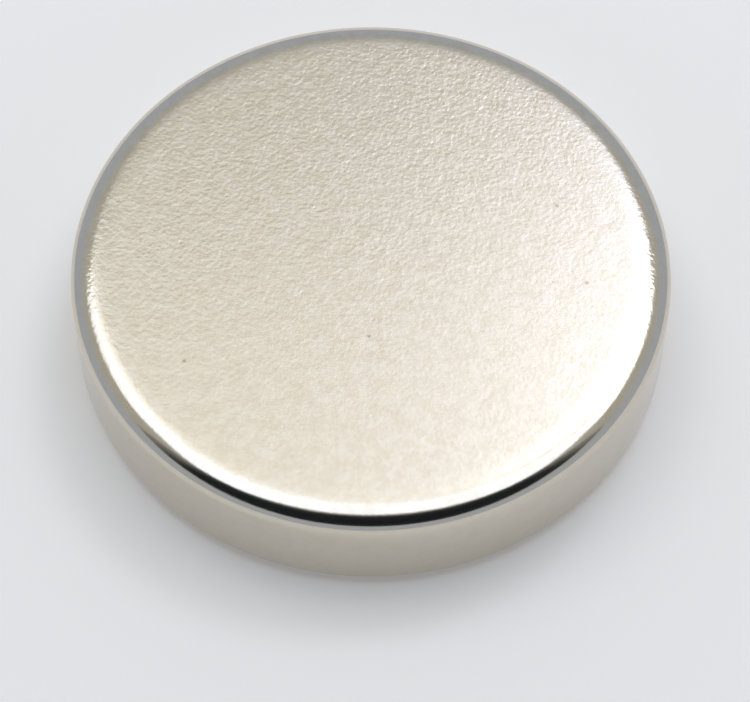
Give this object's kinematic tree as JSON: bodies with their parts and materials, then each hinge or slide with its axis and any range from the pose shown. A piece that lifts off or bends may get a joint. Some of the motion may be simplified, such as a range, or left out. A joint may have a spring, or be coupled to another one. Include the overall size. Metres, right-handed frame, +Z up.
{
  "type": "disc magnet",
  "caption": "Flat round magnet with softly rounded edges and satin nickel plate, magnetised through its thickness; holds to steel by either face or sits in a round pocket.",
  "frame": {"origin": "centre of the lower pole face", "axes": "+Z up along the disc's axis, which is also its magnetic axis, from the lower pole face to the upper one; X and Y lie in the pole face, and all directions there are alike"},
  "size_m": [0.0158, 0.0158, 0.0032],
  "materials": {
    "nickel_plate": "warm satin nickel plate with a fine grain on the pole faces, smoother and glossier on the edges and the wall"
  },
  "bodies": {
    "root": {"magnet_disc": "nickel_plate"}
  },
  "joints": []
}
